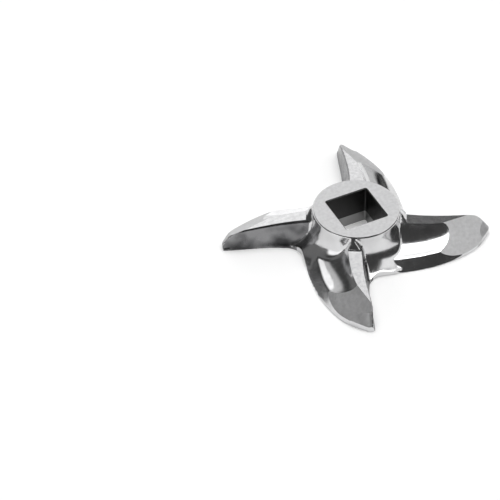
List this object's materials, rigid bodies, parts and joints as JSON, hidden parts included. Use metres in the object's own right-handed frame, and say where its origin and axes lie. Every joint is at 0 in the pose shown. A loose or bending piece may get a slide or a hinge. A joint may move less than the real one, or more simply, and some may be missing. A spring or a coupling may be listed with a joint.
{
  "type": "meat grinder knife",
  "caption": "Sickle-armed meat grinder knife with a flat ground face and a square drive bore through its raised hub.",
  "frame": {"origin": "on the hub's axis, in the flat face that rests against the grinder plate", "axes": "+Z along the hub's axis, from the flat face towards the raised hub; X and Y square to the sides of the bore"},
  "size_m": [0.0852, 0.0852, 0.0143],
  "materials": {
    "steel": "polished casting with ground faces"
  },
  "bodies": {
    "root": {"knife": "steel"}
  },
  "joints": []
}
